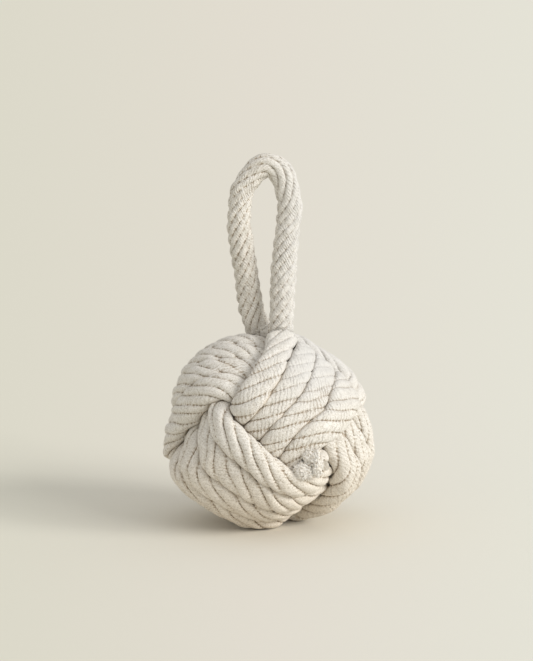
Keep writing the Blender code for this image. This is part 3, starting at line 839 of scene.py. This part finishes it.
def rope_mesh(name, surface, first, last, material):
    """Add the piece of the rope between two rings, closed at both ends."""
    points = surface["points"][first:last + 1]
    rings, around = points.shape[:2]
    verts = np.vstack([points.reshape(-1, 3), surface["line"][first], surface["line"][last]])
    hair_verts, hair_sides, hair_ends = fuzz(surface, first, last, len(name))
    hair_verts[:, 2] = np.maximum(hair_verts[:, 2], 0)
    hair_sides, hair_ends = hair_sides + len(verts), hair_ends + len(verts)
    verts = np.vstack([verts, hair_verts])
    k = np.arange(rings - 1)[:, None] * around
    m = np.arange(around)[None]
    n = (m + 1) % around
    quads = np.stack([k + m, k + n, k + around + n, k + around + m], axis=2).reshape(-1, 4)
    start_centre = rings * around
    last_ring = (rings - 1) * around
    ends = np.stack([n[0], m[0], np.full(around, start_centre)], axis=1)
    tail = np.stack([last_ring + m[0], last_ring + n[0], np.full(around, start_centre + 1)], axis=1)
    loops = np.concatenate([quads.ravel(), ends.ravel(), tail.ravel(), hair_sides.ravel(), hair_ends.ravel()])
    sizes = np.repeat([4, 3, 4, 3], [len(quads), 2 * around, len(hair_sides), len(hair_ends)])
    mesh = mesh_of(name, verts, loops, sizes, sizes == 4)
    for label in ("depth", "shown", "ticks", "valley"):
        values = surface[label][first:last + 1].ravel()
        values = np.concatenate([values, [0.0, 0.0], np.full(len(hair_verts), float(label == "depth"))])
        mesh.attributes.new(label, "FLOAT", "POINT").data.foreach_set("value", values.astype(np.float32))
    strands = surface["strands"][first:last + 1, None]
    ring = np.arange(rings - 1)[:, None, None] + np.array([0, 0, 1, 1])
    column = np.stack([m[0], m[0] + 1, m[0] + 1, m[0]], axis=1)[None]
    uv = []
    for label in ("a", "b"):
        values = surface[label][first:last + 1]
        uv.append(np.concatenate([values, values[:, :1] + strands], axis=1)[ring, column])
    uv = np.stack(uv, axis=3).reshape(-1, 2)
    uv = np.vstack([uv, np.zeros((len(loops) - len(uv), 2))])
    mesh.uv_layers.new(name="lay").data.foreach_set("uv", uv.astype(np.float32).ravel())
    return added(mesh, material)


def hairs(rng, roots, ways, length, width, curl, sides):
    """Return the vertices and faces of short curved threads that taper to a point."""
    count = len(roots)
    rings = HAIR_RINGS
    across = np.cross(ways, rng.normal(size=(count, 3)))
    across /= np.linalg.norm(across, axis=1)[:, None]
    other = np.cross(ways, across)
    t = np.linspace(0, 1, rings)
    bend = (across * rng.normal(size=(count, 1)) + other * rng.normal(size=(count, 1))) * curl
    reach = ways[:, None] * t[:, None] + bend[:, None] * (t ** 2)[:, None]
    middle = roots[:, None] + reach * length[:, None, None]
    thick = width[:, None] / 2 * (1 - HAIR_TAPER * t ** 2)
    turn = 2 * pi * np.arange(sides) / sides
    ring = across[:, None, None] * np.cos(turn)[:, None] + other[:, None, None] * np.sin(turn)[:, None]
    verts = (middle[:, :, None] + ring * thick[:, :, None, None]).reshape(-1, 3)
    first = (np.arange(count)[:, None, None] * rings + np.arange(rings - 1)[None, :, None]) * sides
    k = np.arange(sides)[None, None]
    n = (k + 1) % sides
    quads = np.stack([first + k, first + n, first + sides + n, first + sides + k], axis=3).reshape(-1, 4)
    start = np.arange(count)[:, None] * rings * sides
    lids = np.concatenate([start + np.arange(sides)[::-1], start + (rings - 1) * sides + np.arange(sides)])
    return verts, quads, lids


def plain_mesh(name, verts, groups, material):
    """Add a piece from vertices and groups of faces with the same number of corners."""
    loops = np.concatenate([group.ravel() for group in groups])
    sizes = np.concatenate([np.full(len(group), group.shape[1]) for group in groups])
    return added(mesh_of(name, verts, loops, sizes, np.ones(len(sizes), bool)), material)


def bumps(directions, rng, count, spread):
    """Return a height of soft knobs over a ball, for directions from its middle."""
    seeds = rng.normal(size=(count, 3))
    seeds /= np.linalg.norm(seeds, axis=1)[:, None]
    nearest = (directions @ seeds.T).max(1)
    return np.exp(-(1 - np.clip(nearest, -1, 1)) / spread)


def clump(place, size, rng, rows=56, columns=72):
    """Return the vertices and faces of a knobbly lump of brushed-out yarns."""
    v = pi * (np.arange(rows) + 0.5) / rows
    u = 2 * pi * np.arange(columns) / columns
    way = np.stack([np.outer(np.sin(v), np.cos(u)), np.outer(np.sin(v), np.sin(u)),
                    np.outer(np.cos(v), np.ones(columns))], axis=2)
    flat = way.reshape(-1, 3)
    swell = CLUMP_BASE
    for height, count, spread in CLUMP_KNOBS:
        swell = swell + height * bumps(flat, rng, count, spread)
    verts = np.array(place) + flat * np.array(size) * swell[:, None]
    k = np.arange(rows - 1)[:, None] * columns
    m = np.arange(columns)[None]
    n = (m + 1) % columns
    quads = np.stack([k + m, k + columns + m, k + columns + n, k + n], axis=2).reshape(-1, 4)
    caps = np.array([np.arange(columns), (rows - 1) * columns + np.arange(columns)[::-1]])
    return verts, quads, caps


def add_frayed_end(material):
    """Add the brushed-out end of the rope: knobbly clumps, yarn ends and loose fibres."""
    rng = np.random.default_rng(5)
    made = {"frayed_end": []} | {name: [] for name in FRAY_THREADS}
    for place, size in CLUMPS:
        made["frayed_end"].append(clump(place, size, rng))
        for name, (count, off, length, width, curl, sides) in FRAY_THREADS.items():
            ways = rng.normal(size=(count, 3)) * FRAY_SPREAD + FRAY_WAY
            ways /= np.linalg.norm(ways, axis=1)[:, None]
            roots = np.array(place) + ways * np.array(size) * off
            lengths, widths = rng.uniform(*length, count), rng.uniform(*width, count)
            made[name].append(hairs(rng, roots, ways, lengths, widths, curl, sides))
    pieces = []
    for name, parts in made.items():
        shift = np.cumsum([0] + [len(part[0]) for part in parts])
        groups = [np.vstack([part[k] + shift[i] for i, part in enumerate(parts)]) for k in (1, 2)]
        pieces.append(plain_mesh(name, np.vstack([part[0] for part in parts]), groups, material))
    return pieces


# Materials.

def node(tree, kind, **values):
    made = tree.nodes.new(kind)
    for key, value in values.items():
        setattr(made, key, value)
    return made


def math_node(tree, operation, a, b):
    made = node(tree, "ShaderNodeMath", operation=operation)
    for socket, value in zip(made.inputs, (a, b)):
        if isinstance(value, (int, float)):
            socket.default_value = value
        else:
            tree.links.new(value, socket)
    return made.outputs[0]


def ramp(tree, source, stops):
    made = node(tree, "ShaderNodeValToRGB")
    elements = made.color_ramp.elements
    while len(elements) < len(stops):
        elements.new(0.5)
    for element, (place, colour) in zip(elements, stops):
        element.position = place
        element.color = (*colour, 1)
    tree.links.new(source, made.inputs[0])
    return made.outputs[0]


def mixed(tree, factor, a, b, blend="MIX"):
    made = node(tree, "ShaderNodeMix", data_type="RGBA", blend_type=blend)
    for socket, value in ((made.inputs[0], factor), (made.inputs[6], a), (made.inputs[7], b)):
        if isinstance(value, (int, float)):
            socket.default_value = value
        elif isinstance(value, tuple):
            socket.default_value = (*value, 1)
        else:
            tree.links.new(value, socket)
    return made.outputs[2]


def mapped(tree, value, start, stop, low=0.0, high=1.0, kind="LINEAR"):
    """Return a value spread from one range to another, and held inside it."""
    made = node(tree, "ShaderNodeMapRange", interpolation_type=kind)
    for label, number in (("From Min", start), ("From Max", stop), ("To Min", low), ("To Max", high)):
        made.inputs[label].default_value = number
    tree.links.new(value, made.inputs["Value"])
    return made.outputs[0]


def attribute(tree, name):
    return node(tree, "ShaderNodeAttribute", attribute_name=name).outputs["Fac"]


def add_bump(tree, shader, height, strength, distance):
    bump = node(tree, "ShaderNodeBump")
    bump.inputs["Strength"].default_value = strength
    bump.inputs["Distance"].default_value = distance
    tree.links.new(height, bump.inputs["Height"])
    tree.links.new(bump.outputs[0], shader.inputs["Normal"])


def add_roughness(tree, shader, source, least, shine):
    tree.links.new(mapped(tree, source, 0.0, 1.0, least, 1.0), shader.inputs["Roughness"])
    shader.inputs["Specular IOR Level"].default_value = shine


def new_material(name):
    material = bpy.data.materials.new(name)
    material.use_nodes = True
    return material, material.node_tree, material.node_tree.nodes["Principled BSDF"]


def noise_of(tree, vector, scale, detail, roughness=0.6):
    made = node(tree, "ShaderNodeTexNoise")
    made.inputs["Scale"].default_value = scale
    made.inputs["Detail"].default_value = detail
    made.inputs["Roughness"].default_value = roughness
    tree.links.new(vector, made.inputs["Vector"])
    return made.outputs["Fac"]


def joined(tree, x, y):
    made = node(tree, "ShaderNodeCombineXYZ")
    tree.links.new(x, made.inputs[0])
    tree.links.new(y, made.inputs[1])
    return made.outputs[0]


def cotton_material():
    material, tree, shader = new_material("cotton_rope")
    split = node(tree, "ShaderNodeSeparateXYZ")
    tree.links.new(node(tree, "ShaderNodeUVMap", uv_map="lay").outputs[0], split.inputs[0])
    a, b = split.outputs[0], split.outputs[1]
    place = node(tree, "ShaderNodeTexCoord").outputs["Object"]
    up = node(tree, "ShaderNodeSeparateXYZ")
    tree.links.new(place, up.inputs[0])

    def times(value, number):
        return math_node(tree, "MULTIPLY", value, number)

    # Yarns that run along a strand: fine across it and long along it.
    lay = noise_of(tree, joined(tree, times(a, YARNS_ACROSS), times(b, YARNS_ALONG)), 1.0, 3)
    crossing = noise_of(tree, joined(tree, times(b, YARNS_ACROSS), times(a, YARNS_ALONG)), 1.0, 3)
    yarn = node(tree, "ShaderNodeMix", data_type="FLOAT")
    tree.links.new(attribute(tree, "shown"), yarn.inputs[0])
    tree.links.new(crossing, yarn.inputs[2])
    tree.links.new(lay, yarn.inputs[3])

    # Stitches that cross a strand, three to a crossing strand, and uneven: creases between yarns, sunk by the
    # bump and darkened with painted shade.
    sway = times(noise_of(tree, place, STITCH_SWAY_SCALE, 3), STITCH_SWAY)
    saw = math_node(tree, "PINGPONG", math_node(tree, "ADD", times(b, STITCHES), sway), 0.5)
    stitch = mapped(tree, saw, 0.0, STITCH_WIDTH, 1.0, 0.0, "SMOOTHSTEP")
    patchy = mapped(tree, noise_of(tree, place, STITCH_PATCH_SCALE, 2), *STITCH_PATCHES)
    stitch = times(times(stitch, attribute(tree, "ticks")), patchy)

    # From the bottom of the grooves to the tops of the strands, with ragged borders: painted shade, dark
    # brown deep in the grooves.
    fuzz = noise_of(tree, place, FUZZ_SCALE, detail=4, roughness=0.7)
    broken = times(math_node(tree, "SUBTRACT", saw, 0.25), RAGGED)
    frayed = times(math_node(tree, "SUBTRACT", fuzz, 0.5), RAGGED)
    depth = math_node(tree, "ADD", math_node(tree, "ADD", attribute(tree, "depth"), broken), frayed)
    greyed = node(tree, "ShaderNodeHueSaturation")
    greyed.inputs["Saturation"].default_value = COTTON_SATURATION
    tree.links.new(ramp(tree, depth, GROOVE_SHADE_COLOURS), greyed.inputs["Color"])
    tint = ramp(tree, noise_of(tree, place, PATCH_SCALE, 3), PATCH_COLOURS)
    base = mixed(tree, 1.0, greyed.outputs[0], tint, "MULTIPLY")
    base = mixed(tree, 0.9, base, ramp(tree, yarn.outputs[0], YARN_COLOURS), "MULTIPLY")
    base = mixed(tree, 0.9, base, ramp(tree, fuzz, SPECK_COLOURS), "MULTIPLY")
    base = mixed(tree, times(stitch, STITCH_SHADE_SHARE), base, STITCH_SHADE_COLOUR)

    # Painted shade near the floor and between ropes, warmer and darker there, and a painted washout of the
    # light at the upper right.
    low = ramp(tree, times(up.outputs[2], FLOOR_SHADE_SHARE), FLOOR_SHADE_COLOURS)
    base = mixed(tree, 1.0, base, low, "MULTIPLY")
    # Painted shade between ropes, where neighbours press them.
    base = mixed(tree, times(attribute(tree, "valley"), PAINTED_VALLEY_SHADE_SHARE), base, PAINTED_VALLEY_SHADE_COLOUR, "MULTIPLY")
    # Painted light: the upper right evened to one pale tone, as the key washes it out.
    high = mapped(tree, up.outputs[2], *PAINTED_WASHOUT_HEIGHTS, kind="SMOOTHSTEP")
    bright = mapped(tree, up.outputs[0], *PAINTED_WASHOUT_SIDE, kind="SMOOTHSTEP")
    painted_washout = times(times(high, bright), PAINTED_WASHOUT_SHARE)
    base = mixed(tree, painted_washout, base, PAINTED_WASHOUT_COLOUR)
    tree.links.new(base, shader.inputs["Base Color"])

    add_roughness(tree, shader, fuzz, least=0.85, shine=0.15)
    height = math_node(tree, "ADD", times(yarn.outputs[0], YARN_HEIGHT), fuzz)
    height = math_node(tree, "SUBTRACT", height, times(stitch, STITCH_SINKS))
    add_bump(tree, shader, height, strength=0.66, distance=0.0008)
    return material


def fray_material():
    material, tree, shader = new_material("frayed_cotton")
    place = node(tree, "ShaderNodeTexCoord").outputs["Object"]
    grain = noise_of(tree, place, scale=700, detail=4, roughness=0.65)
    dark = noise_of(tree, place, scale=330, detail=3, roughness=0.7)
    base = mixed(tree, 1.0, ramp(tree, grain, FRAY_COLOURS), ramp(tree, dark, FRAY_SPOTS), "MULTIPLY")
    tree.links.new(base, shader.inputs["Base Color"])
    add_roughness(tree, shader, grain, least=0.9, shine=0.1)
    add_bump(tree, shader, math_node(tree, "ADD", grain, dark), strength=0.6, distance=0.0005)
    return material


def grain_material(name, dark, light, scale, distance):
    material, tree, shader = new_material(name)
    place = node(tree, "ShaderNodeTexCoord").outputs["Object"]
    noise = noise_of(tree, place, scale, detail=4, roughness=0.5)
    tree.links.new(ramp(tree, noise, [(0.3, dark), (0.7, light)]), shader.inputs["Base Color"])
    shader.inputs["Roughness"].default_value = 0.95
    add_bump(tree, shader, noise, strength=1.0, distance=distance)
    return material


# The room.

def floor_material():
    """A pale floor with painted light: a little brighter and warmer towards the right, the side the key comes
    from.
    """
    material, tree, shader = new_material("floor")
    split = node(tree, "ShaderNodeSeparateXYZ")
    tree.links.new(node(tree, "ShaderNodeTexCoord").outputs["Object"], split.inputs[0])
    depth = math_node(tree, "MAXIMUM", math_node(tree, "ADD", split.outputs[1], FAN_CENTRE), 0.5)
    fan = math_node(tree, "DIVIDE", split.outputs[0], depth)
    place = math_node(tree, "ADD", math_node(tree, "MULTIPLY", fan, FAN_SPREAD), 0.5)
    colour = ramp(tree, place, [(0.0, FLOOR_PAINTED_LIGHT_LEFT), (0.5, FLOOR_PAINTED_LIGHT_MIDDLE), (1.0, FLOOR_PAINTED_LIGHT_RIGHT)])
    tree.links.new(colour, shader.inputs["Base Color"])
    shader.inputs["Roughness"].default_value = 1.0
    shader.inputs["Specular IOR Level"].default_value = 0.0
    return material


def add_floor():
    mesh = bpy.data.meshes.new("floor")
    side = FLOOR_SIDE
    corners = [(-side, -side, 0), (side, -side, 0), (side, side, 0), (-side, side, 0)]
    mesh.from_pydata(corners, [], [(0, 1, 2, 3)])
    mesh.materials.append(floor_material())
    thing = bpy.data.objects.new("floor", mesh)
    bpy.context.scene.collection.objects.link(thing)


def add_room():
    add_floor()
    for azimuth, portion in KEY_PARTS:
        sun = bpy.data.lights.new("key", "SUN")
        sun.energy = KEY_STRENGTH * portion
        sun.angle = radians(KEY_SOFTNESS)
        sun.color = KEY_COLOUR
        thing = bpy.data.objects.new("key", sun)
        e, a = radians(KEY_ELEVATION), radians(azimuth)
        to_light = Vector((cos(e) * cos(a), cos(e) * sin(a), sin(e)))
        thing.rotation_euler = to_light.to_track_quat("Z", "Y").to_euler()
        bpy.context.scene.collection.objects.link(thing)
    world = bpy.data.worlds.new("room")
    bpy.context.scene.world = world
    world.use_nodes = True
    background = world.node_tree.nodes["Background"]
    background.inputs["Color"].default_value = SKY_COLOUR
    background.inputs["Strength"].default_value = SKY_STRENGTH


def add_camera():
    data = bpy.data.cameras.new("camera")
    data.sensor_fit = "VERTICAL"
    data.sensor_height = SENSOR_HEIGHT
    view_height = IMAGE_HEIGHT * MM_PER_PIXEL / 1000
    data.lens = data.sensor_height * CAMERA_DISTANCE / view_height
    data.clip_start, data.clip_end = CAMERA_SEES
    e = radians(CAMERA_ELEVATION)
    thing = bpy.data.objects.new("camera", data)
    target = Vector((VIEW_CENTRE_X, 0, VIEW_CENTRE_Z))
    thing.location = target + CAMERA_DISTANCE * Vector((0, -cos(e), sin(e)))
    thing.rotation_euler = (radians(90 - CAMERA_ELEVATION), 0, 0)
    bpy.context.scene.collection.objects.link(thing)
    bpy.context.scene.camera = thing


def main():
    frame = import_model()
    bpy.context.scene.view_settings.view_transform = "Standard"
    add_camera()
    add_room()

    wide, starts = path_at(START_SCALE)
    home, _ = path_at(SOFT_SCALE)
    rope = settled(wide, home, starts) - FRAME_SHIFT
    centre = np.array([0, 0, KNOT_HEIGHT]) - FRAME_SHIFT
    surface = rope_surface(rope, starts, centre)
    cotton = cotton_material()

    at = surface["at"]
    z = surface["line"][:, 2]
    middle_of_loop = (starts[2] + starts[3]) / 2
    left = (at > starts[2] - 2) & (at < middle_of_loop)
    right = (at > middle_of_loop) & (at < starts[3] + 1)

    def ring_at(side, height):
        rings = np.nonzero(side)[0]
        return int(rings[np.abs(z[rings] - height).argmin()])

    left_low, left_high = ring_at(left, LOW_SEAM), ring_at(left, HIGH_SEAM)
    right_high, right_low = ring_at(right, HIGH_SEAM), ring_at(right, LOW_SEAM)
    splice = int(np.abs(at - (starts[5] - SPLICE_COUNT)).argmin())
    last = len(at) - 1
    pieces = {
        "first_turns_rope": (0, left_low, "first_turns"),
        "left_leg_rope": (left_low, left_high, "left_neck"),
        "loop_rope": (left_high, right_high, "handle_loop"),
        "right_leg_rope": (right_high, right_low, "right_neck"),
        "second_turns_rope": (right_low, splice, "second_turns"),
        "third_turns_rope": (splice, last, "third_turns"),
    }
    for name, (start, stop, stands_for) in pieces.items():
        piece = rope_mesh(name, surface, start, stop, cotton)
        if name.endswith("leg_rope"):
            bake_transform(piece)
        elif name == "loop_rope":
            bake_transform(piece)
        else:
            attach(piece, "knot")
        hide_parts(stands_for)

    for piece in add_frayed_end(fray_material()):
        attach(piece, "knot")

    for name, look in INSIDE.items():
        thing = frame["nodes"][name]
        thing.data.materials.clear()
        thing.data.materials.append(grain_material(*look))


main()
